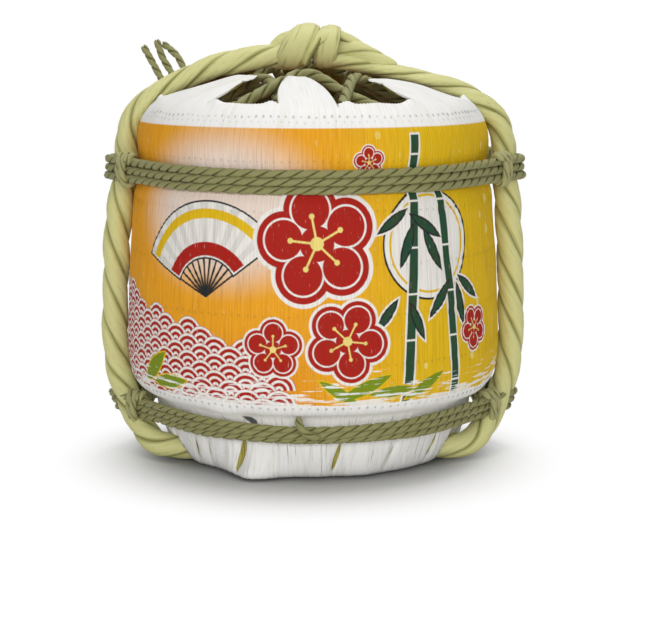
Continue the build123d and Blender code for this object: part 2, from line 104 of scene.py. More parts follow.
class Finish:
    """A material with one Principled shader, and short ways to add nodes to it."""

    def __init__(self, name, roughness):
        self.material = bpy.data.materials.new(name)
        self.material.use_nodes = True
        self.nodes = self.material.node_tree.nodes
        self.links = self.material.node_tree.links
        self.shader = self.nodes["Principled BSDF"]
        self.set({"Roughness": roughness})

    def set(self, inputs):
        """Sets inputs of the shader by their names."""
        for name, value in inputs.items():
            self.feed(self.shader.inputs[name], value)

    def node(self, kind, inputs=(), **settings):
        made = self.nodes.new("ShaderNode" + kind)
        for name, value in settings.items():
            setattr(made, name, value)
        for name, value in dict(inputs).items():
            self.feed(made.inputs[name], value)
        return made

    def feed(self, socket, value):
        if isinstance(value, Value):
            value = value.socket
        if isinstance(value, bpy.types.NodeSocket):
            self.links.new(value, socket)
        else:
            socket.default_value = value

    def calc(self, operation, *values):
        made = self.node("Math", operation=operation)
        for socket, value in zip(made.inputs, values):
            self.feed(socket, value)
        return Value(self, made.outputs[0])

    def least(self, a, b):
        return self.calc("MINIMUM", a, b)

    def most(self, a, b):
        return self.calc("MAXIMUM", a, b)

    def length(self, x, y):
        return self.calc("SQRT", x * x + y * y)

    def split(self, output, count):
        parts = self.node("SeparateXYZ", {0: output}).outputs
        return [Value(self, parts[k]) for k in range(count)]

    def place(self):
        """The three object coordinates in millimetres."""
        return [value * 1000 for value in self.split(self.node("TexCoord").outputs["Object"], 3)]

    def sewn_uv(self):
        """The two coordinates of a piece's own UV map."""
        return self.split(self.node("UVMap", uv_map="UVMap").outputs["UV"], 2)

    def attribute(self, name):
        return Value(self, self.node("Attribute", attribute_name=name).outputs["Fac"])

    def point(self, x, y, z=0):
        return self.node("CombineXYZ", {0: x, 1: y, 2: z}).outputs[0]

    def noise(self, place, detail=2, roughness=0.5):
        """A noise that changes once in each unit of its two or three coordinates."""
        inputs = {"Vector": self.point(*place), "Scale": 1, "Detail": detail, "Roughness": roughness}
        return Value(self, self.node("TexNoise", inputs).outputs["Fac"])

    def ramp(self, value, low, high, low_result=0, high_result=1, smooth=True):
        limits = {"From Min": low, "From Max": high, "To Min": low_result, "To Max": high_result}
        kind = "SMOOTHSTEP" if smooth else "LINEAR"
        made = self.node("MapRange", {"Value": value, **limits}, interpolation_type=kind)
        return Value(self, made.outputs["Result"])

    def blend(self, share, first, second):
        """A colour that goes from the first to the second as the share goes from 0 to 1."""
        made = self.node("Mix", data_type="RGBA")
        for socket, value in zip((made.inputs[0], made.inputs[6], made.inputs[7]), (share, first, second)):
            self.feed(socket, value)
        return made.outputs[2]

    def bump(self, height, distance, strength=1):
        made = self.node("Bump", {"Strength": strength, "Distance": distance, "Height": height})
        self.set({"Normal": made.outputs[0]})


def add_mesh(name, bm, material):
    """Puts a mesh of one material into the scene."""
    mesh = bpy.data.meshes.new(name)
    bm.to_mesh(mesh)
    bm.free()
    mesh.materials.append(material)
    made = bpy.data.objects.new(name, mesh)
    scene.collection.objects.link(made)
    return made


# %% [markdown]
# ## The floor and the light
#
# The product stands in white. A floor that is only lit would be grey, so it adds a little light of its own
# for the camera alone: it comes out white and the shadow under the cask stays. The world does the same.
# Near the cask an occlusion node also darkens the floor's colour: a painted contact shadow.

# %% Build the studio
def seen_directly(nodes, links):
    """1 for rays from the camera, a mirror or glass, and 0 for the rays that light the object."""
    path = nodes.new("ShaderNodeLightPath")
    seen = path.outputs["Is Camera Ray"]
    for name in ("Is Glossy Ray", "Is Transmission Ray"):
        most = nodes.new("ShaderNodeMath")
        most.operation = "MAXIMUM"
        links.new(seen, most.inputs[0])
        links.new(path.outputs[name], most.inputs[1])
        seen = most.outputs[0]
    return seen


paper = Finish("studio_floor", 1)
x, y, z = paper.place()
far = paper.ramp(paper.length(x + 2, y + 18), 68, 140)
# Painted contact shadow: occlusion darkens the floor's colour where it meets the cask.
painted_contact_shadow_ao = paper.node("AmbientOcclusion", {"Distance": 0.05}, samples=12)
ground = paper.ramp(Value(paper, painted_contact_shadow_ao.outputs["AO"]), 0.18, 0.68)
ground = paper.blend(ground, (0.3, 0.3, 0.3, 1), (0.9, 0.9, 0.9, 1))
seen = Value(paper, seen_directly(paper.nodes, paper.links))
paper.set({
    "Base Color": paper.blend(seen * far, ground, (0, 0, 0, 1)), "Specular IOR Level": 0,
    "Emission Color": (1, 1, 1, 1), "Emission Strength": seen * far,
})
bm = bmesh.new()
bmesh.ops.create_grid(bm, x_segments=4, y_segments=4, size=6)
add_mesh("floor", bm, paper.material)

world = bpy.data.worlds.new("studio")
scene.world = world
world.use_nodes = True
sky_nodes, sky_links = world.node_tree.nodes, world.node_tree.links
sky = sky_nodes["Background"]
sky.inputs["Color"].default_value = (1, 1, 1, 1)
sky_strength = sky_nodes.new("ShaderNodeMapRange")
sky_strength.inputs["To Min"].default_value = 0.18
sky_strength.inputs["To Max"].default_value = 1
sky_links.new(seen_directly(sky_nodes, sky_links), sky_strength.inputs["Value"])
sky_links.new(sky_strength.outputs["Result"], sky.inputs["Strength"])


def soft_light(name, place, width, height, power):
    """A broad lamp that looks at the middle of the cask."""
    data = bpy.data.lights.new(name, "AREA")
    data.shape = "RECTANGLE"
    data.size, data.size_y = width, height
    data.energy = power
    lamp = bpy.data.objects.new(name, data)
    lamp.location = place
    lamp.rotation_euler = (Vector((0, 0, 0.1)) - Vector(place)).to_track_quat("-Z", "Y").to_euler()
    scene.collection.objects.link(lamp)


soft_light("top_light", (0.1, 0.2, 1.3), 0.6, 0.6, 8.5)
soft_light("front_light", (-0.05, -1.7, 0.6), 2.2, 0.6, 19.5)
soft_light("back_light", (-0.2, 1.8, 0.5), 2, 0.7, 9)
print("studio ready")


# %% [markdown]
# ## Lines for ropes
#
# A rope hangs in smooth curves. A NURBS spline draws them from a few points of the CAD model's route. The
# line is read back as points at even steps, and the strands and their fibres are built along it.

# %% Helpers for lines
def wobble(a, b, c):
    """Smooth noise from -1 to 1, looked up at three numbers."""
    return noise.noise(Vector((a, b, c)))


def around(radius, azimuth, height):
    """A point from a radius, an azimuth from the front towards the right, and a height, in mm."""
    turn = radians(azimuth)
    return Vector((radius * sin(turn), -radius * cos(turn), height))


def smooth_line(points, step):
    """Points at even steps along the NURBS line of some control points. These and the step are in mm."""
    data = bpy.data.curves.new("route", "CURVE")
    data.dimensions = "3D"
    spline = data.splines.new("NURBS")
    spline.points.add(len(points) - 1)
    for knot, place in zip(spline.points, points):
        knot.co = (*(Vector(place) * mm), 1)
    spline.order_u = 3
    spline.use_endpoint_u = True
    spline.resolution_u = 16
    holder = bpy.data.objects.new("route", data)
    mesh = bpy.data.meshes.new_from_object(holder)
    line = [v.co.copy() for v in mesh.vertices]
    bpy.data.objects.remove(holder)
    bpy.data.meshes.remove(mesh)
    bpy.data.curves.remove(data)
    return even_steps(line, step * mm)


def even_steps(line, step):
    """The points of a line, moved along it to lie at even steps."""
    runs = [(b - a).length for a, b in zip(line, line[1:])]
    count = max(2, round(sum(runs) / step))
    result, k, done = [], 0, 0
    for i in range(count + 1):
        want = sum(runs) * i / count
        while k < len(runs) - 1 and done + runs[k] < want:
            done += runs[k]
            k += 1
        share = (want - done) / runs[k] if runs[k] else 0
        result.append(line[k].lerp(line[k + 1], min(share, 1)))
    return result


def hump(distance, reach):
    """A smooth hump: 1 in its middle and almost 0 beyond its reach."""
    return exp(-((distance / reach) ** 2))


def line_length(line):
    return sum((b - a).length for a, b in zip(line, line[1:]))


def line_frames(line, top):
    """The direction, top and side at each point of a line. The top is carried along, or looked up."""
    frames, up = [], top
    for k in range(len(line)):
        ahead = (line[min(k + 1, len(line) - 1)] - line[max(k - 1, 0)]).normalized()
        towards = top(line[k]) if callable(top) else up
        up = (towards - ahead * towards.dot(ahead)).normalized()
        frames.append((ahead, up, ahead.cross(up)))
    return frames


# %% [markdown]
# ## Strands
#
# A laid rope is two or three strands that wind round each other. Each is a bundle of flat straw: its
# section is a soft oval with a sharp crease between two ribbons of straw. A curve with a bevel would give
# every place the same section, so a flat grid is rolled into a tube, ring by ring. Its UV map runs around
# and along the strand in millimetres, and an attribute says how deep a point lies between the strands,
# where the finish paints shade.

# %% Helpers for strands
def roll_tube(bm, rings, depths, width, step, start):
    """Rolls a flat grid into a tube through rings of points. Its UV map is in millimetres."""
    uv = bm.loops.layers.uv.verify()
    inner = bm.verts.layers.float.get("inner") or bm.verts.layers.float.new("inner")
    rows, sides = len(rings) - 1, len(rings[0])
    verts = bmesh.ops.create_grid(bm, x_segments=sides, y_segments=rows, size=1)["verts"]
    seats = {v: (round((v.co.x + 1) / 2 * sides), round((v.co.y + 1) / 2 * rows)) for v in verts}
    for face in {f for v in verts for f in v.link_faces}:
        for corner in face.loops:
            column, row = seats[corner.vert]
            corner[uv].uv = (width * column / sides + start, step * row)
    for v, (column, row) in seats.items():
        v.co = rings[row][column % sides]
        v[inner] = depths[row][column % sides]


def finished(name, bm, material, node):
    """Closes the seams of a mesh, turns its faces outwards and lets it stand for its CAD node."""
    bmesh.ops.remove_doubles(bm, verts=bm.verts, dist=1e-6)
    bmesh.ops.recalc_face_normals(bm, faces=bm.faces)
    for face in bm.faces:
        face.smooth = True
    piece = add_mesh(name, bm, material)
    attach(piece, "cask")
    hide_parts(node)
    print(name, len(piece.data.vertices), "points")
    return piece


def rise_and_fall(s, length, first, last):
    """How full a strand is at a distance along it: its two ends are rounded, or drawn out to a point."""
    share = min((s + 0.3) / first, (length - s + 0.05) / last, 1)
    return max(0, share) ** 0.5


def add_strands(bm, line, top, kind, mark, press=None, first=0, fray=0):
    """Lays a rope's strands round a line. The kind holds its sizes in mm, and press may flatten it."""
    step = line_length(line) / (len(line) - 1) / mm
    frames = line_frames(line, top)
    sides, thick, wide, ribbons = kind["sides"], kind["thick"], kind["wide"], kind["ribbons"]
    for strand in range(kind["strands"]):
        seed = mark + 7.3 * strand
        last = len(line) - 1 - round(fray * abs(wobble(seed, 0.7, 0.2)) / step)
        rings, depths = [], []
        for k in range(last + 1):
            s = k * step
            ahead, up, side = frames[k]
            turn = first + tau * (strand / kind["strands"] + s / kind["lay"])
            out, across = up * cos(turn) + side * sin(turn), side * cos(turn) - up * sin(turn)
            full = rise_and_fall(s, last * step, 0.45 * thick, kind.get("tip", 1.3 * thick))
            full *= 1 + kind["uneven"] * wobble(s / (4 * thick), seed, 0)
            middle = out * kind["core"] * (1 + 0.08 * wobble(s / 23, seed, 5))
            drift = 1.1 * wobble(s / (7 * thick), seed, 9) + s * kind["slip"]
            ring, depth = [], []
            for j in range(sides):
                angle = tau * j / sides
                phase = (ribbons * j / sides + drift) % ribbons
                edge = abs(2 * (phase % 1) - 1) ** 4
                own = wobble(int(phase) * 3.7, s / (8 * thick), seed)
                height = full * (1 - kind["fold"] * edge + 0.55 * kind["fold"] * own)
                offset = middle + (out * cos(angle) * thick + across * sin(angle) * wide) * height
                ring.append(line[k] + (press(k / (len(line) - 1), offset, ahead) if press else offset) * mm)
                # How deep a point lies between the strands or at a ribbon's edge: the finish paints shade
                # there. The kind's mark sets how much a ribbon's edge counts.
                depth.append(max((1 - cos(angle)) / 2, kind.get("mark", 0.55) * edge))
            rings.append(ring)
            depths.append(depth)
        roll_tube(bm, rings, depths, pi * (wide + thick), step, seed * 11)


# %% [markdown]
# ## Finishes of the straw
#
# The rope and the twine are flat, dried straw of a green-yellow tone. Colour and bump come from noises that
# are narrow across a strand and long along it. Where the strands meet, the colour is darkened as painted
# shade.

# %% Finishes for rope and twine
def straw_finish(name, light, middle, shade, fibre, crease):
    """Dried straw from its three colours, how fine its fibres are and where the painted shade in its
    creases sets in.
    """
    straw = Finish(name, 0.6)
    u, v = straw.sewn_uv()
    inner = straw.attribute("inner")
    ribbons = straw.noise((u * fibre * 0.3, v * 0.02))
    fibres = straw.noise((u * fibre, v * 0.018), 4, 0.7)
    patches = straw.noise((u * 0.08, v * 0.03, 4))
    body = straw.blend(straw.ramp(ribbons * 0.6 + patches * 0.4, 0.36, 0.62), middle, light)
    body = straw.blend(straw.ramp(fibres, 0.36, 0.56, 0.6, 0), body, shade)
    # Painted shade: darker where the strands meet and at the ribbons' edges.
    body = straw.blend(straw.ramp(inner, crease[0], crease[1], 0, 0.85), body, shade)
    straw.set({
        "Base Color": body, "Sheen Weight": 0.08, "Sheen Roughness": 0.4, "Specular IOR Level": 0.3,
    })
    straw.bump(fibres + ribbons * 0.6, 0.0009, 0.9)
    return straw.material


rope_colours = linear(234, 232, 168), linear(202, 199, 130), linear(114, 111, 40)
twine_colours = linear(160, 158, 106), linear(126, 124, 77), linear(76, 74, 34)
# A lighter copy of the twine's colours for the coils: painted light against the rope's shade on them.
painted_light_coil_colours = linear(182, 179, 126), linear(148, 146, 96), linear(84, 81, 38)
rope_straw = straw_finish("thick_rope_straw", *rope_colours, 0.85, (0.22, 0.62))
twine_straw = straw_finish("twine_straw", *twine_colours, 1.3, (0.44, 1))
painted_light_coil_straw = straw_finish("painted_light_coil_straw", *painted_light_coil_colours, 1.3, (0.5, 1.1))
print("straw finishes ready")

# %% [markdown]
# ## The thick rope
#
# One rope holds everything together: it passes under the cask, climbs both sides and is knotted on top.
# Its three strands are 15 mm across in all and make a full turn every 72 mm. It is pulled flat where it
# runs over the rim, and its foot swings to the front before it dives under the cask.

# %% Lay the thick rope
rope_side = [
    (97, 184), (100.2, 168), (99.9, 153.5), (104, 134), (106.8, 98), (107.8, 62),
    (105.6, 45), (101.6, 33.5), (97.6, 23.5), (90, 13.5),
]
rope_legs = [
    (99.3, 0, 153.5), (104.2, 0, 134), (106.9, 0, 98), (108, 0, 62), (106.6, -0.5, 46),
    (103, -3.5, 35), (98.8, -10, 25.5), (92.4, -20, 15.5), (83, -29, 8),
    (70, -32, 7.5), (48, -31, 7.5),
]
rope_top_left = [
    (4, 0, 213.4), (15, 0, 213), (34, 0, 211.4), (54, 0, 207.4), (74.4, 0, 197.6),
    (88.8, 0, 190.2), (97.2, 0, 180), (99.9, 0, 167),
]
rope_top_right = [
    (2, 0, 212), (15, 0, 210.8), (34, 0, 206.8), (60, 0, 200.6), (78, 0, 194.6),
    (90, 0, 188.2), (99.6, 0, 178.5), (103, 0, 165.5),
]
right_legs = [(101.9, 0, 153.5), (105.6, 0, 134)] + rope_legs[2:]
rope_route = [(-x, y, z) for x, y, z in rope_top_left + rope_legs] + (rope_top_right + right_legs)[::-1]
rope_line = smooth_line(rope_route, 1.6)
rope_length = line_length(rope_line) / mm
flat_leg = ((118, 0.92), (133, 0.86), (150, 0.98), (240, 0.97), (262, 0.86), (285, 0.92), (400, 0.9))
flat_left = ((0, 0.86), (40, 0.88), (75, 0.80), (95, 0.76)) + flat_leg
flat_right = ((0, 0.72), (25, 0.64), (48, 0.56), (70, 0.70), (92, 0.80)) + flat_leg


def between(table, value):
    """Reads a value off a table of pairs, in straight lines between them."""
    for (a, first), (b, second) in zip(table, table[1:]):
        if value <= b:
            return first + (second - first) * max(0, value - a) / (b - a)
    return table[-1][1]


def press_rope(share, offset, ahead):
    """The thick rope is flatter and wider where it is pulled over the rim and lies under the base."""
    flat = between(flat_left, share * rope_length)
    if share > 0.5:
        flat = between(flat_right, (1 - share) * rope_length)
    outward = ahead.cross(Vector((0, 1, 0))).normalized()
    pressed = offset + outward * (offset.dot(outward) * (flat - 1))
    pressed.y *= flat ** -0.5
    return pressed


thick_rope = dict(
    strands=3, core=3.3, wide=5.2, thick=4.25, lay=-72, sides=42, ribbons=6, fold=0.065, mark=0.42,
    slip=0.012, uneven=0.15,
)
bm = bmesh.new()
add_strands(bm, rope_line, Vector((-1, 0, 0)), thick_rope, 1, press_rope)
print("thick rope", round(rope_length), "mm long without its knot")

# %% [markdown]
# ## The knot
#
# On top the rope's two ends are joined by two broad turns. The left one leans to the right, so the two
# spread below and meet on top. Shorter strands come out beside them, and the rope's cut end lies along its
# right half. The strands of a knot lie side by side, so each turn is one broad flat strand.

# %% Tie the knot
knot_middle = Vector((0, 0, 217.7))
knot_strand = dict(
    strands=1, core=0, wide=6.9, thick=3.2, lay=2000, sides=44, ribbons=10, fold=0.11, mark=0.5,
    slip=0.012, uneven=0.12,
)
knot_end = dict(
    strands=3, core=2.3, wide=3.9, thick=2.9, lay=-58, sides=28, ribbons=5, fold=0.08, mark=0.4,
    slip=0.01, uneven=0.2, tip=9,
)


def knot_turn(along, lean, tall, deep):
    """One turn round the rope, from the back over the top and the front to the back again."""
    points = []
    for k in range(17):
        angle = tau * (-0.52 + 1.04 * k / 16)
        up = tall * cos(angle)
        points.append(knot_middle + Vector((along + lean * up, -deep * sin(angle), up)))
    return smooth_line(points, 1.3)


def outwards(place):
    """From the rope's middle line out to a point of a turn."""
    return Vector((0, place.y, place.z - knot_middle.z * mm))


left_turn = knot_turn(-8.6, 0.56, 9.1, 11.2)
add_strands(bm, left_turn, outwards, {**knot_strand, "wide": 7.6, "thick": 3.6}, 31)
right_turn = knot_turn(7.4, 0.2, 8.7, 10.4)
add_strands(bm, right_turn, outwards, {**knot_strand, "wide": 6.2}, 33)
knot_pieces = (
    ([(-3.6, -7.5, 209), (-2.2, -10.8, 213), (0.4, -11.8, 217.5), (3, -9.5, 222),
      (5, -5, 225)], 35, dict(wide=3.6, thick=2.2, sides=26, ribbons=4)),
    ([(-1, -8.5, 219), (4, -9.6, 223), (10, -6, 225.6), (16, -2.5, 223),
      (23, -1, 219.4), (29, 0, 214.4)], 37, dict(wide=4.6, thick=2.6, sides=30, ribbons=5)),
    ([(-21.5, 1, 213), (-18.5, 2, 218), (-14, 3.5, 221.6), (-7, 5, 222),
      (0, 6, 218)], 39, dict(wide=4.8, thick=3.4, sides=30, ribbons=5)),
)
for route, mark, changes in knot_pieces:
    add_strands(bm, smooth_line(route, 1.2), Vector((0, -0.6, 0.8)), {**knot_strand, **changes}, mark)
knot_tail = [
    (6, -0.5, 218.6), (15, -1.5, 218), (23, -2.5, 215.8), (32, -3, 211.6),
    (39, -3.5, 208.2), (44, -3.5, 206.4),
]
add_strands(bm, smooth_line(knot_tail, 1.2), Vector((0, 0, 1)), knot_end, 52, first=0.4, fray=22)
finished("thick_rope", bm, rope_straw, "main_rope")

# %% [markdown]
# ## The bands of twine
#
# Each band is one twine that goes round three times, pulled tight like a belt: it follows the mat, leaves
# it in a straight line, passes round the outside of the thick rope and comes straight back. In each
# outward direction the belt touches whichever circle reaches furthest: the mat's or one of the ropes'.

# %% Wind the bands
# In mm: from the rope's middle line out to the twine's, and from one turn to the next. In degrees from
# the front: the twine's cut ends, and where a turn starts and stops climbing to the next.
wrap, full_pitch = 9.4, 4.4
band_end, climb_from, climb_to = 174, 160, 200


def rope_offset(side, height):
    """The rope's distance from the middle at a height, on the left (-1) or the right (1)."""
    for (x0, z0), (x1, z1) in zip(rope_side, rope_side[1:]):
        if z1 <= height <= z0:
            right_shoulder = 2.4 if side > 0 and height > 120 else 0
            return x0 + (x1 - x0) * (z0 - height) / (z0 - z1) + right_shoulder


def belt(radius, height, low_azimuth, high_azimuth):
    """The points of a level belt round the mat and both ropes, from one azimuth to another."""
    left, right = Vector((-rope_offset(-1, height), 0, 0)), Vector((rope_offset(1, height), 0, 0))
    points = []
    for k in range(int(high_azimuth - low_azimuth) + 1):
        turn = radians(low_azimuth + k)
        out = Vector((sin(turn), -cos(turn), 0))
        circles = [(radius, Vector()), (wrap, right), (wrap, left)]
        reach, middle = max(circles, key=lambda c: c[0] + c[1].dot(out))
        points.append(middle + out * reach + Vector((0, 0, height)))
    return points


def band_line(radius, middle, pitch, wavy, tight):
    """Three turns of a belt, each climbing to the next along the back."""
    points = []
    for k in range(3):
        height = middle + pitch * (k - 1)
        begin, end = -band_end if k == 0 else -climb_from, band_end if k == 2 else climb_from
        for p in belt(radius, height, begin, end):
            wave = wobble(p.x / 26, p.y / 26, height)
            front = tight * hump(p.x, 62) if p.y < 0 else 0
            drawn = Vector((0, 0, wavy * wave - pitch * front * (k - 1) - 2 * front))
            points.append(p + drawn + Vector((0, -3.4 * front if k == 1 else 0, 0)))
        if k < 2:
            for azimuth in range(climb_from + 4, climb_to, 4):
                share = (azimuth - climb_from) / (climb_to - climb_from)
                share = share * share * (3 - 2 * share)
                points.append(around(radius, azimuth, height + pitch * share))
    return even_steps([p * mm for p in points], 1.35 * mm)


twine = dict(
    strands=2, core=0.95, wide=1.8, thick=1.2, lay=-16, sides=12, ribbons=3, fold=0.08, slip=0,
    uneven=0.12,
)


def twine_piece(name, straw, node, runs):
    """One piece made of runs of twine. Each run has a line, a mark for its own noise and a scale."""
    bm = bmesh.new()
    for line, mark, scale in runs:
        sized = {part: twine[part] * scale for part in ("core", "wide", "thick", "lay")}
        add_strands(bm, line, Vector((0, 0, 1)), {**twine, **sized}, mark)
    return finished(name, bm, straw, node)


band_rows = (
    ("upper", 94.45, 154, full_pitch, 0.3, 0.1, 3),
    ("lower", 87.8, 27.2, 3.95, 0.5, 0.36, 4),
)
hitch = (
    (90, -4.8, 35.5), (92.4, -4.4, 32.5), (93.6, -3, 29.5), (93.2, -0.4, 27), (90.5, 2, 25),
)
for name, radius, height, pitch, wavy, tight, seed in band_rows:
    line = band_line(radius, height, pitch, wavy, tight)
    runs = [(line, seed, pitch / full_pitch)]
    if name == "lower":
        runs.append((smooth_line([around(*place) for place in hitch], 1.2), 6, 0.9))
    twine_piece(name + "_twine", twine_straw, name + "_band", runs)
    print(name + "_twine", round(line_length(line) / mm), "mm long")

# %% [markdown]
# ## The small coils beside the rope
#
# Four short twines on each band draw its three turns together, just beside the thick rope. Each is a coil
# of three loops that fan out a little. They use a lighter copy of the twine's finish: painted light against
# the shade that the thick rope casts on them.

# %% Wind the coils
coil_height, coil_depth, loop_gap, turn_points = 8, 3.9, 3.4, 12


def coil_line(radius, height, side, sign):
    """Three loops round a band's turns, just beside the thick rope on one side, in front or behind."""
    offset = rope_offset(side, height)
    swing = (radius - wrap) / offset
    lean = atan2((1 - swing * swing) ** 0.5, swing)
    out = Vector((side * cos(lean), -sign * sin(lean), 0))
    along = Vector((side * sin(lean), sign * cos(lean), 0))
    touch = Vector((side * offset, 0, height)) + out * wrap
    first = touch - along * 25.95
    points = []
    for k in range(34):
        turn = k / turn_points
        angle = tau * turn + 0.6
        up = coil_height * sin(angle)
        fan = (turn - 1.4) * 0.16
        place = first + out * coil_depth * cos(angle) + Vector((0, 0, up))
        points.append(place + along * (loop_gap * turn + 1.5 + up * fan))
    return smooth_line(points, 1.2)


for name, radius, height, *_ in band_rows:
    runs = [
        (coil_line(radius, height, side, sign), 11 + side + 3 * sign, 0.92)
        for side in (-1, 1) for sign in (-1, 1)
    ]
    twine_piece(name + "_coils", painted_light_coil_straw, name + "_lashings", runs)

# %% [markdown]
# ## The lacing
#
# Two lengths of a thicker twine lace the six flaps of the mat down over the lid. Each goes round a flap's
# tip, dives under the hem and comes up beyond the next flap, so two strands cross in every gap.

# %% Lace the flaps
lacing_routes = {
    "flap_lacing_a": [
        (-50.1, -59.8, 182.4), (-18.4, -38.4, 199.8), (-1, -25, 206.4), (18.4, -38.4, 192.4),
        (50.1, -59.8, 182.4), (67.5, -39, 182.4), (76.8, -13.5, 182.4), (49.1, 0, 194.5),
        (22.5, 14, 208), (18.4, 38.4, 194), (12.2, 77, 182.4), (-12.2, 77, 182.4),
        (-18.4, 38.4, 201.8), (-22.5, 14, 208.4), (-49.1, 0, 188), (-76.8, -13.5, 182.4),
        (-67.5, -39, 182.4),
    ],
    "flap_lacing_b": [
        (12.2, -77, 182.4), (18.4, -38.4, 198.6), (22.5, -13, 203.6), (49.1, 0, 187.4),
        (76.8, 13.5, 182.4), (67.5, 39, 182.4), (50.1, 59.8, 182.4), (18.4, 38.4, 202.2),
        (0, 26, 209.2), (-18.4, 38.4, 194.6), (-50.1, 59.8, 182.4), (-67.5, 39, 182.4),
        (-76.8, 13.5, 182.4), (-49.1, 0, 195.4), (-22.5, -13, 203.6), (-18.4, -38.4, 191),
        (-12.2, -77, 182.4),
    ],
}
for name, route in lacing_routes.items():
    line = smooth_line(route, 1.3)
    twine_piece(name + "_twine", twine_straw, name, [(line, 20, 1.32)])
    print(name, round(line_length(line) / mm), "mm long")

# %% [markdown]
# ## The three cut ends
#
# Behind the thick rope, upper left, three short ends of twine stand up. They are free cords with a real
# length and a bare end.

# %% Stand up the cut ends
tail_routes = {
    "cord_tail_1": [(-76, 11.4, 188), (-80.6, 14.5, 197.4), (-86, 18, 207.6), (-92, 20.5, 218)],
    "cord_tail_2": [(-70.6, 11.4, 191), (-76, 16.5, 203), (-82.5, 20, 212.5), (-84.6, 21, 221.2)],
    "cord_tail_3": [(-65.2, 11.4, 192.5), (-69.5, 16.5, 206), (-75, 21.5, 214.8), (-82, 25, 219)],
}
for name, route in tail_routes.items():
    line = smooth_line(route, 0.9)
    tail = twine_piece(name + "_twine", twine_straw, name, [(line, 27 + route[0][0], 0.88)])
    round(line_length(line), 4)
    print(name, round(line_length(line) / mm, 1), "mm long")

# %% [markdown]
# ## The mat
#
# The mat is a sheet of straws, sewn side by side with rows of thread. It goes round the cask, tucks in
# under the base and ends on top in six flaps. One outline spun round the middle gives the body, with two
# points for each straw, so every straw is a real rib. The top edge is then extruded into hem and flaps.

# %% The outline of the mat
straw_count = 288
columns = 2 * straw_count
degrees_per_radian = 57.3
mat_outline = [
    (46, 0.9), (56, 0.7), (66, 0.6), (74, 0.8), (77.6, 5), (81, 14), (83.6, 22),
    (84.6, 28), (85.6, 33.4), (88.5, 36.3), (94.5, 38), (98.4, 45), (100.2, 56), (100.2, 70),
    (98.6, 100), (96.4, 130), (95.2, 144), (93, 146.4), (92, 148.5), (92, 159.5),
    (92.9, 161.8), (93.4, 165), (93.4, 171), (92.4, 177), (90, 182.5), (86, 187.6),
    (83.6, 189.4),
]
profile = smooth_line([(radius, 0, height) for radius, height in mat_outline], 3.4)
print("mat outline", len(profile), "points,", round(line_length(profile) / mm), "mm")

rim_radius, rim_height = mat_outline[-1]
tip_middle = 43
crown_rise = 14.6
flap_measures = ("root", "half", "shift", "radius", "lift", "swell")
flaps = [dict(zip(flap_measures, row)) for row in (
    (-1.3, 10.2, -7.2, 6.6, 1.6, 2),
    (60, 20, 1.5, 9, -1.5, 0.8),
    (120, 22.5, 0, 14, 5, 3),
    (180, 13, 2, 14, 5.5, 4),
    (240, 22.5, 0, 14, 5, 3),
    (300, 20, -1.5, 9, 0.5, 0.8),
)]
stitch_rows = (184.9, 163.5, 139, 113, 88, 63, 41.5)
stitch_step = 4.3
skirt_gaps = {
    -61: 0.5, -48: 0.7, -41.5: 0.6, -25.5: 1.4, 9.5: 0.9, 31: 0.6, 52: 0.8, 75: 0.6,
    104: 0.8, 131: 1.1, 163: 0.7, -169: 0.9, -140: 0.6, -118: 1, -88: 0.5,
}
puff_azimuth, puff_height, corner_azimuth, skirt_top = -28.6, 35.5, -23, 37


def turn_apart(azimuth, other):
    """The angle from one azimuth to another, from -180 to 180."""
    return (azimuth - other + 180) % 360 - 180


# %% [markdown]
# The straws are not perfect. Each point moves in or out by the round of its own straw, the pull of each
# stitch, slow waves of the sheet, and on the skirt the pleats and the open gaps. Cracks and gaps are also
# kept as attributes for the finish. Under the base the sheet is lifted over the thick rope.

# %% Shape the straws
rope_under = [p for p in rope_line if p.z < 11.5 * mm]


def spin_round(bm, outline, steps):
    """Spins an outline once round the upright axis and closes it."""
    bmesh.ops.spin(
        bm, geom=outline, cent=(0, 0, 0), axis=(0, 0, 1), angle=tau, steps=steps, use_merge=True
    )


def lifted_over_rope(place, clearance=8.7):
    """Raises a point that would be inside the thick rope, under the base or at the skirt."""
    if place.z > 18 * mm or abs(place.y) > 45 * mm:
        return place
    near = min(rope_under, key=lambda p: (p.x - place.x) ** 2 + (p.y - place.y) ** 2)
    aside = hypot(place.x - near.x, place.y - near.y) / mm
    if aside < clearance:
        over = near.z / mm + (clearance ** 2 - aside ** 2) ** 0.5
        place.z = max(place.z, over * mm)
    return place


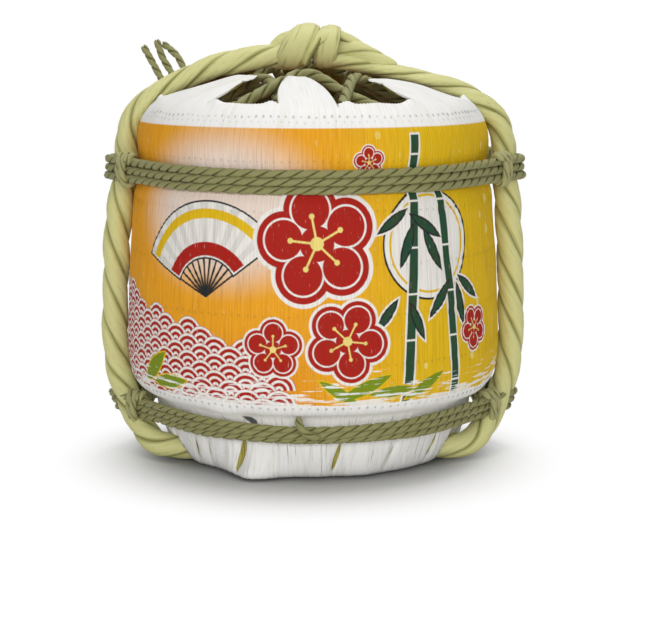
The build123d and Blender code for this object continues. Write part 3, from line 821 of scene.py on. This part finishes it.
def straw_relief(azimuth, column, height, radius):
    """How far a point of the mat lies out of its outline in mm, and how cracked and how open it is."""
    arc = azimuth * radius / degrees_per_radian
    odd = (column // 2) % 2
    pull = sum(hump(height - row, 1.5) for row in stitch_rows)
    relief = (0.16 if column % 2 else -0.16) * (1 + pull) - pull * (0.42 if odd else 0.14)
    relief += 0.7 * wobble(arc / 30, height / 30, 1)
    relief += 0.24 * wobble(arc / 3.1, height / 60, 2)
    crack = max(0, 1 - 4.5 * abs(wobble(arc / 5.2, height / 60, 3))) ** 2
    fine = max(0, 1 - 5 * abs(wobble(arc / 2.4, height / 30, 8))) ** 2
    opened = 0
    if height < skirt_top:
        below = min(1, (skirt_top - height) / 6)
        clear = 1 - 0.75 * hump(height - 27.6, 8)
        relief += below * clear * (1.5 * wobble(arc / 17, height / 60, 4))
        relief += below * (0.4 * wobble(arc / 4.2, height / 50, 5) - 0.4 * crack - 0.3 * fine)
        relief += 12 * hump(turn_apart(azimuth, corner_azimuth), 9) * hump(height, 10)
        for gap, depth in skirt_gaps.items():
            lean = gap - 0.16 * (20 - height)
            width = (0.45 + 0.8 * depth) * (1 if height > 3 else 0.6)
            opened += min(1, depth) * hump(turn_apart(azimuth, lean), width) * hump(height - 13, 11)
        relief -= 2.4 * below * min(opened, 1.2)
        crack = below * max(0.5 * crack, 0.5 * fine)
    else:
        relief -= 0.10 * crack
        crack *= 0.15
    puff = hump(turn_apart(azimuth, puff_azimuth), 5.5) * hump(height - puff_height, 3.2)
    tear = hump(turn_apart(azimuth, puff_azimuth + 8), 1.8) * hump(height - 34, 3)
    relief += 3.4 * puff - 2 * tear
    return relief, min(1, crack), min(1, opened)


bm = bmesh.new()
rib_mark = bm.verts.layers.float.new("rib")
rise_mark = bm.verts.layers.float.new("rise")
crack_mark = bm.verts.layers.float.new("crack")
open_mark = bm.verts.layers.float.new("opened")
ring = [bm.verts.new((p.x * sin(-pi), -p.x * cos(-pi), p.z)) for p in profile]
chain = [bm.edges.new(pair) for pair in zip(ring, ring[1:])]
spin_round(bm, ring + chain, columns)
top_row = [None] * columns
for v in bm.verts:
    azimuth = atan2(v.co.x, -v.co.y) * 180 / pi
    column = round(azimuth / 360 * columns) % columns
    radius, height = hypot(v.co.x, v.co.y) / mm, v.co.z / mm
    v[rib_mark] = azimuth / 360 * columns
    v[rise_mark] = height
    if height > rim_height - 0.01:
        top_row[column] = v
    relief, v[crack_mark], v[open_mark] = straw_relief(azimuth, column, height, radius)
    relief *= min(1, max(0.2, (radius - 66) / 8))
    v.co = lifted_over_rope(around(radius + relief, azimuth, height) * mm)
print("mat body", len(bm.verts), "points")

# %% [markdown]
# The rim is extruded one flap or one gap at a time: every extrusion takes the last row's edges. A straw
# of a flap runs to its own point on the rounded tip. In a gap the sheet rolls over the rim and down
# inside, and beside a flap's root its edge lifts a little.

# %% Extrude the flaps and the hem
def flap_point(flap, share, along, column):
    """A point of a flap: share is from -1 to 1 across it, along from 0 at its root to 1 at its tip."""
    root = radians(share * flap["half"])
    start = Vector((rim_radius * cos(root), rim_radius * sin(root)))
    end = Vector((tip_middle - flap["radius"] * cos(share * pi / 2), flap["radius"] * sin(share * pi / 2)))
    end.y += flap["shift"]
    way = start.lerp(end, along)
    bulge = sin(pi * min(1, along * 1.05))
    way.y += bulge * share * flap["swell"]
    height = rim_height + crown_rise * (rim_radius - way.x) / 49 + flap["lift"] * along
    height += 1.9 * bulge - 1.9 * share * share * sin(pi * along) ** 0.7
    height += 0.22 * (1 if column % 2 else -1) * (1 - 0.6 * along) - 1.5 * max(0, along - 0.86) / 0.14
    height += 1.1 * wobble(share * 1.6, along * 2.4, flap["root"])
    side = radians(flap["root"])
    out, across = Vector((sin(side), -cos(side), 0)), Vector((cos(side), sin(side), 0))
    return (out * way.x + across * way.y + Vector((0, 0, height))) * mm


hem_roll = [
    (82.2, 190.4), (80.6, 190.9), (79, 190.6), (77.9, 189.4), (77.2, 187.4), (76.9, 184.6),
    (76.8, 181.6),
]


def extrude_row(bm, row, places):
    """Extrudes a row of points once and moves the new points to their places."""
    edges = [bm.edges.get(pair) for pair in zip(row, row[1:])]
    made = bmesh.ops.extrude_edge_only(bm, edges=edges)["geom"]
    fresh = {v for v in made if isinstance(v, bmesh.types.BMVert)}
    following = [next(e.other_vert(v) for e in v.link_edges if e.other_vert(v) in fresh) for v in row]
    for v, place in zip(following, places):
        v.co = place
    return following


def azimuth_of(column):
    return 360 * column / columns


def flap_at(azimuth):
    """The flap whose root holds an azimuth, or None in a gap."""
    return next((f for f in flaps if abs(turn_apart(azimuth, f["root"])) <= f["half"]), None)


def root_distance(azimuth):
    """How many degrees an azimuth lies beyond the nearest flap's root."""
    return min(abs(turn_apart(azimuth, flap["root"])) - flap["half"] for flap in flaps)


def hem_point(column, j):
    """A point of a gap's row: over the rim and down inside."""
    radius, height = hem_roll[j]
    azimuth = azimuth_of(column)
    wave = wobble(azimuth / 9, j * 0.25, 6)
    lift = 1.9 * hump(root_distance(azimuth) - 3.2, 2.4) * sin(pi * min(1, (j + 1) / 4))
    beyond = min(1, max(0, root_distance(azimuth) / 5))
    lift += 7 * beyond * max(0, -cos(radians(azimuth))) * sin(pi * min(1, (j + 1) / 6))
    rib = (0.18 if column % 2 else -0.18) * (1 - j / 8)
    return around(radius + 0.7 * wave, azimuth, height + rib + 0.6 * wave + lift) * mm


spans = [
    (flap, list(members)) for flap, members in groupby(range(columns), lambda c: flap_at(azimuth_of(c)))
]
if spans[0][0] is spans[-1][0]:
    spans[0] = (spans[0][0], spans.pop()[1] + spans[0][1])
flap_rows = 22
for flap, members in spans:
    if flap:
        turns = [turn_apart(azimuth_of(c), flap["root"]) for c in members]
        edge = max(abs(turns[0]), abs(turns[-1]))
    else:
        members = [(members[0] - 1) % columns] + members + [(members[-1] + 1) % columns]
    row = [top_row[c] for c in members]
    for j in range(flap_rows if flap else len(hem_roll)):
        along = (j + 1) / flap_rows
        if flap:
            places = [flap_point(flap, turn / edge, along, c) for c, turn in zip(members, turns)]
        else:
            places = [hem_point(c, j) for c in members]
        row = extrude_row(bm, row, places)
        for v in row:
            v[rise_mark] = rim_height + (50 * along if flap else 2 * (j + 1))
            # The inside of a gap's hem is marked as bare straw; the finish darkens it there as painted
            # shade.
            v[open_mark] = 0 if flap or j < 3 else 1

# %% [markdown]
# ## The printed front
#
# The front carries a bright print on a ground that goes from pink-white over orange to gold: three plum
# blossoms, an open fan over waves on the left, and bamboo before a full moon on the right. No picture file
# is needed. Each motif is a formula that is above zero inside its outline, so one node paints it, and the
# same formula with a little added paints the outline round it.

# %% Helpers for the print
mat = Finish("whitened_straw", 0.75)
calc, blend, ramp, speckle = mat.calc, mat.blend, mat.ramp, mat.noise
least, most, distance = mat.least, mat.most, mat.length
x, y, up = mat.place()
across = calc("ARCTAN2", x, y * -1) * 100


def absolute(value):
    return calc("ABSOLUTE", value)


def remainder(value, step):
    return calc("FLOORED_MODULO", value, step)


def inside(value, soft=0.22):
    """1 where a motif's value is above zero, with a soft edge."""
    return ramp(value, -soft, soft, smooth=False)


def leaf(middle_x, middle_z, lean, length, width):
    """A pointed leaf that leans from the level."""
    c, s = cos(radians(lean)), sin(radians(lean))
    right, above = across - middle_x, up - middle_z
    along = right * c + above * s
    aside = absolute(above * c - right * s)
    share = along * (2 / length)
    return (1 - share * share) * (width / 2) - aside


def union(values):
    return reduce(most, values)


def paint(colour, *layers):
    """Paints layers over a colour: each a motif, its ink and how far the ink goes over its outline."""
    for value, ink, *edge in layers:
        colour = blend(inside(value + (edge[0] if edge else 0)), colour, ink)
    return colour


red, paper_white = linear(172, 22, 12), linear(243, 240, 233)
dark_green, leaf_green, ink_black = linear(20, 70, 45), linear(122, 146, 20), linear(16, 28, 32)
gold, orange, pale_gold = linear(232, 190, 20), linear(240, 166, 30), linear(244, 222, 130)


def paint_blossom(colour, middle_x, middle_z, size, turn):
    """A plum blossom of five round petals, with a white outline, a fine inner line and stamens."""
    right, above = across - middle_x, up - middle_z
    reach = distance(right, above)
    angle = calc("ARCTAN2", right, above) + turn
    part = remainder(angle + tau / 10, tau / 5) - tau / 10
    out = reach * calc("COSINE", part)
    aside = absolute(reach * calc("SINE", part))
    petal = most(0.45 * size - distance(out - 0.55 * size, aside), 0.42 * size - reach)
    line = 0.012 * size + 0.14 - absolute(petal - 0.12 * size)
    stamen = least(0.016 * size - aside + 0.06, 0.42 * size - reach)
    return paint(
        colour, (petal, paper_white, 0.07 * size), (petal, red), (line, paper_white), (stamen, pale_gold),
        (0.045 * size - distance(out - 0.44 * size, aside), pale_gold), (0.11 * size - reach, pale_gold),
    )


def paint_waves(colour, wave, low, limit, edge):
    """Rows of overlapping waves, painted from the back row to the front one."""
    rise = wave / 4
    height = up - low
    for back in (0, 1, 2):
        row = calc("FLOOR", height / rise) - back
        odd = remainder(row, 2) * 0.5
        column = calc("ROUND", across / wave - odd) + odd
        centre_x, centre_z = column * wave, row * rise
        reach = distance(across - centre_x, height - centre_z)
        allowed = least(limit - centre_z - (centre_x + 75) * 0.22, edge - centre_x)
        shown = least(wave / 2 - reach, allowed)
        band = absolute(remainder(reach, wave / 5.6) - wave / 11.2)
        ring = blend(inside(band - wave / 26), paper_white, red)
        colour = blend(inside(shown), colour, ring)
    return colour


def paint_fan(colour, pivot_x, pivot_z, size, lean):
    """An open paper fan with folds, a gold rim, a red foot and dark ribs."""
    right, above = across - pivot_x, up - pivot_z
    reach = distance(right, above)
    angle = calc("ARCTAN2", right, above) - lean
    width = (1.05 - absolute(angle)) * reach
    leaf_value = least(least(size - reach, reach - 0.42 * size), width)
    ribs = absolute(calc("SINE", angle * 15)) * reach / 15
    rib_value = least(least(0.55 - ribs, width + 0.4), 0.43 * size - reach)
    colour = paint(
        colour, (rib_value, ink_black), (leaf_value, ink_black, 0.9), (leaf_value, paper_white)
    )
    fold = least(leaf_value, calc("SINE", angle * 30))
    colour = blend(inside(fold, 0.3) * 0.16, colour, ink_black)
    inner = leaf_value - 0.8
    rim = least(inner, 0.05 * size - absolute(reach - 0.88 * size))
    return paint(colour, (rim, gold), (least(inner, 0.58 * size - reach), red))


def bamboo_value(middle_x, low, high, lean):
    """A bamboo stem between two heights, cut across at its joints."""
    aside = absolute(across - middle_x - (up - low) * lean)
    joint = absolute(remainder(up - low, 23) - 11.5)
    stem = least(2.5 - aside, joint - 0.5)
    return least(stem, least(high - up, up - low))


# %% Paint the print
side_shade = ramp(across, -10, 70)
colour = blend(side_shade, orange, gold)
glow = ramp(distance((across + 50) / 66, (up - 140) / 46), 1.05, 0.45)
colour = blend(glow * 0.92, colour, linear(240, 226, 216))
dusk = ramp(up - across * 0.1, 92, 52) * ramp(across, 20, -60)
colour = blend(dusk * 0.65, colour, linear(206, 84, 20))
cells = mat.node("TexVoronoi", {"Vector": mat.point(across * 0.115, up * 0.085), "Scale": 1})
fleck = 0.24 - Value(mat, cells.outputs["Distance"])
chance = mat.node("SeparateColor", {"Color": cells.outputs["Color"]})
fleck = least(fleck, Value(mat, chance.outputs[0]) - 0.62)
fleck = ramp(fleck, 0, 0.03) * ramp(across, 18, 45)
colour = blend(fleck * 0.85, colour, pale_gold)
colour = paint_waves(colour, 17, 43, 36, -14)
colour = paint_fan(colour, -57, 96, 47, -0.12)
moon = 27 - distance(across - 64, up - 122)
moon_line = 0.6 - absolute(moon - 3)
colour = paint(colour, (moon, ink_black, 1.1), (moon, paper_white), (moon_line, gold))
stems = union([bamboo_value(49, 40, 176, 0.06), bamboo_value(82, 40, 150, -0.08)])
leaves = union([leaf(*measures) for measures in (
    (62, 131, -32, 25, 6), (66, 119, -62, 26, 6.2), (50, 122, -112, 25, 6),
    (42, 134, -146, 22, 5.4), (92, 98, -38, 22, 5.6), (85, 90, -76, 24, 5.8),
    (70, 94, -128, 24, 5.8), (38, 88, -128, 20, 5.2), (55, 84, -66, 22, 5.4),
)])
low_leaves = union([leaf(*measures) for measures in (
    (26, 52, 24, 30, 6.4), (41, 49.5, 4, 26, 5.6), (13, 50, 148, 24, 5.4),
    (60, 51, 28, 26, 5.6), (-96, 56, 40, 28, 8), (-84, 50, 8, 28, 7),
)])
colour = paint(
    colour, (union([stems, leaves]), paper_white, 1), (stems, dark_green), (leaves, ink_black),
    (leaves - 1, dark_green), (low_leaves, gold, 0.8), (low_leaves, leaf_green),
)
for blossom in ((2, 124, 31, 0.2), (17, 76, 21, 0.8), (-20, 72, 15, 0),
                (98, 76, 12, 0.5), (30, 163, 8.5, 0.1)):
    colour = paint_blossom(colour, *blossom)
print("print painted with", len(mat.nodes), "nodes")

# %% [markdown]
# ## The finish of the mat
#
# The straws are whitened: a warm white with fine lines along each straw. The print leaves out the finest
# gaps between them. Each row of thread leaves small dark dots, the cracks between the skirt's straws are
# grey, and in its gaps the bare yellow-green straw shows, as it does inside the mat. Deep in the hem's roll
# the bare straw is taken darker still: painted shade in the mouth.

# %% Finish for the mat
rib, rise, crack, opened = [mat.attribute(name) for name in ("rib", "rise", "crack", "opened")]
fibres = speckle((rib * 1.3, rise * 0.035), 3, 0.6)
shades = speckle((rib * 0.10, rise * 0.02))
white = blend(ramp(fibres, 0.3, 0.5), linear(232, 231, 224), linear(245, 244, 241))
white = blend(ramp(shades, 0.56, 0.76, 0, 0.3), white, linear(226, 223, 198))
print_top, print_foot, print_half = 179.8, 43.5, 163
frame_value = least(print_top - across * across * 0.00004 - up, up - print_foot)
frame_value = least(frame_value, print_half - absolute(across))
brush = speckle((across * 0.05, up * 0.55, 3), 3, 0.6)
dry = ramp(brush - (up - 43) * 0.012, 0.44, 0.5) * 0.85
specks = speckle((rib * 1.1, rise * 0.16, 7))
cover = inside(frame_value, 0.3) * (1 - ramp(specks, 0.66, 0.76) * 0.3) * (1 - dry)
lines = ramp(fibres, 0.25, 0.6, 0.26, 0)
thin = speckle((rib * 0.8, rise * 0.025, 21), 3, 0.65)
bare = blend(ramp(fibres, 0.35, 0.6), linear(120, 110, 40), linear(176, 166, 84))
# Painted shade: the bare straw goes darker deep in the hem's roll, inside the mouth.
bare = blend(ramp(rise, 190, 194), bare, linear(84, 78, 36))
body = white
for share, tone in (
    (cover, blend(lines, colour, linear(110, 64, 12))),
    (ramp(crack, 0.2, 1, 0, 0.55), linear(136, 132, 114)),
    (ramp(thin, 0.30, 0.42, 0.75, 0) * ramp(rise, 37, 32), linear(110, 108, 88)),
    (ramp(opened, 0.42, 0.62), bare),
):
    body = blend(share, body, tone)


def thread_dots(row, shift, size):
    """A row of small dots where the thread dips between two straws."""
    aside = remainder(across + shift, stitch_step) - stitch_step / 2
    jitter = speckle((across * 0.1, row * 0.1, 11), 1) - 0.5
    chance = speckle((across * 0.5, row * 0.3, 15), 0)
    away = distance(aside, up - row + jitter * 2.4)
    return size * ramp(chance, 0.3, 0.6, 0.55, 1.1) - away


for number, row in enumerate(stitch_rows):
    strong = row > 180 or row < 45
    dots = thread_dots(row, 1.4 * number, 0.62)
    body = blend(inside(dots, 0.35) * (0.5 if strong else 0.22), body, linear(96, 92, 78))
faint = thread_dots(182.5, 2.1, 0.55)
body = blend(inside(faint, 0.3) * 0.22, body, linear(120, 116, 100))
# Painted shade: a dark streak in the crease beside the small puff above the lower band.
fold = leaf(-37.5, 32.4, -32, 10, 3.4)
body = blend(inside(fold, 0.4) * 0.9, body, linear(34, 36, 30))
mat.set({"Base Color": body, "Specular IOR Level": 0.25})
mat.bump(fibres, 0.0003, 0.6)
straw_mat = finished("straw_mat_sheet", bm, mat.material, "straw_mat")


def loose_straw(name, roughness, narrow, drawn, dark, light, depth):
    """Bare straw that stands round the cask, in thin stalks of two tones."""
    straw = Finish(name, roughness)
    x, y, z = straw.place()
    stalks = straw.noise((straw.calc("ARCTAN2", x, y) * narrow, z * drawn), 3, 0.6)
    straw.set({"Base Color": straw.blend(straw.ramp(stalks, 0.3, 0.7), dark, light)})
    straw.bump(stalks, depth, 0.7)
    return straw.material


# The inner side of the mat is bare straw, taken darker than the packing's straw: its own tone with painted
# shade inside the mouth.
inner_tones_with_painted_shade = linear(112, 102, 42), linear(168, 156, 80)
straw_mat.data.materials.append(loose_straw("bare_straw_in_painted_shade", 0.8, 70, 0.05, *inner_tones_with_painted_shade, 0.0006))
group = straw_mat.vertex_groups.new(name="wall")
for index, mark in enumerate(straw_mat.data.attributes["rise"].data):
    thinner = min(1, max(0, (mark.value - rim_height - 34) / 12))
    group.add([index], 1 - 0.75 * thinner, "REPLACE")
wall = straw_mat.modifiers.new("wall", "SOLIDIFY")
wall.vertex_group = "wall"
wall.thickness = 1.5 * mm
wall.offset = -1
wall.use_even_offset = False
wall.material_offset = 1

# %% [markdown]
# ## The straw packing
#
# Loose straw fills the space between cask and mat at the belly, and a straw ring lies under the cask.
# Each is a spun ring whose surface is drawn in by noise, like bundled straw.

# %% Pack the straw
packing_tones = linear(168, 148, 84), linear(222, 206, 142)
packing_straw = loose_straw("packing_straw", 0.75, 81, 0.08, *packing_tones, 0.0008)


def straw_ring(name, outline, node):
    """A ring of packed straw from a closed outline of (radius, height) points in mm."""
    bm = bmesh.new()
    corners = [bm.verts.new((r * mm, 0, h * mm)) for r, h in outline]
    loop = [bm.edges.new(pair) for pair in zip(corners, corners[1:] + corners[:1])]
    bmesh.ops.subdivide_edges(bm, edges=loop, cuts=5)
    spin_round(bm, bm.verts[:] + bm.edges[:], 180)
    for v in bm.verts:
        azimuth = atan2(v.co.x, -v.co.y)
        lump = 0.7 * mm * wobble(azimuth * 22, v.co.z / mm / 30, 3)
        v.co = lifted_over_rope(v.co - Vector((v.co.x, v.co.y, 0)).normalized() * abs(lump), 10.6)
    finished(name, bm, packing_straw, node)


belly = [
    (92, 45), (97.2, 58), (95.9, 80), (91.8, 138.7), (83.9, 138.7), (79.6, 90), (78.4, 45),
]
straw_ring("belly_straw", belly, "belly_packing")
foot = [(64, 3), (77.8, 17.6), (62, 17.6), (46.2, 17.6), (46.2, 3)]
straw_ring("foot_straw", foot, "foot_packing")

# %% [markdown]
# ## Cedar and bamboo
#
# The cask's own pieces are right as the CAD model has them, so they only get finishes. Cedar has long
# bands of early and late wood. Bamboo is smooth and pale, with fine lines.

# %% Finish the cask
cedar = Finish("cedar", 0.6)
x, y, z = cedar.place()
bands = cedar.noise((x * 0.12, y * 0.12, z * 0.008))
rings = cedar.calc("SINE", bands * 60)
grain = cedar.noise((x * 1.4, y * 1.4, z * 0.05), 3)
wood = cedar.blend(cedar.ramp(rings, -0.6, 0.9), linear(214, 166, 116), linear(176, 116, 74))
cedar.set({"Base Color": cedar.blend(cedar.ramp(grain, 0.5, 0.75, 0, 0.5), wood, linear(140, 88, 54))})
cedar.bump(grain + rings * 0.2, 0.0003, 0.5)

bamboo = Finish("bamboo", 0.4)
x, y, z = bamboo.place()
lines = bamboo.noise((x * 0.3, y * 0.3, z * 2.2), 3)
tones = linear(212, 190, 128), linear(176, 150, 84)
bamboo.set({"Base Color": bamboo.blend(bamboo.ramp(lines, 0.35, 0.7), *tones)})
bamboo.bump(lines, 0.0002, 0.4)

for name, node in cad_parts.items():
    wooden = name.startswith(("stave", "bottom_board", "lid_board", "lid_bung", "tap_plug"))
    if wooden or name.endswith(("hoop", "dowels")):
        node.data.materials.clear()
        node.data.materials.append((cedar if wooden else bamboo).material)
print("cask finished")
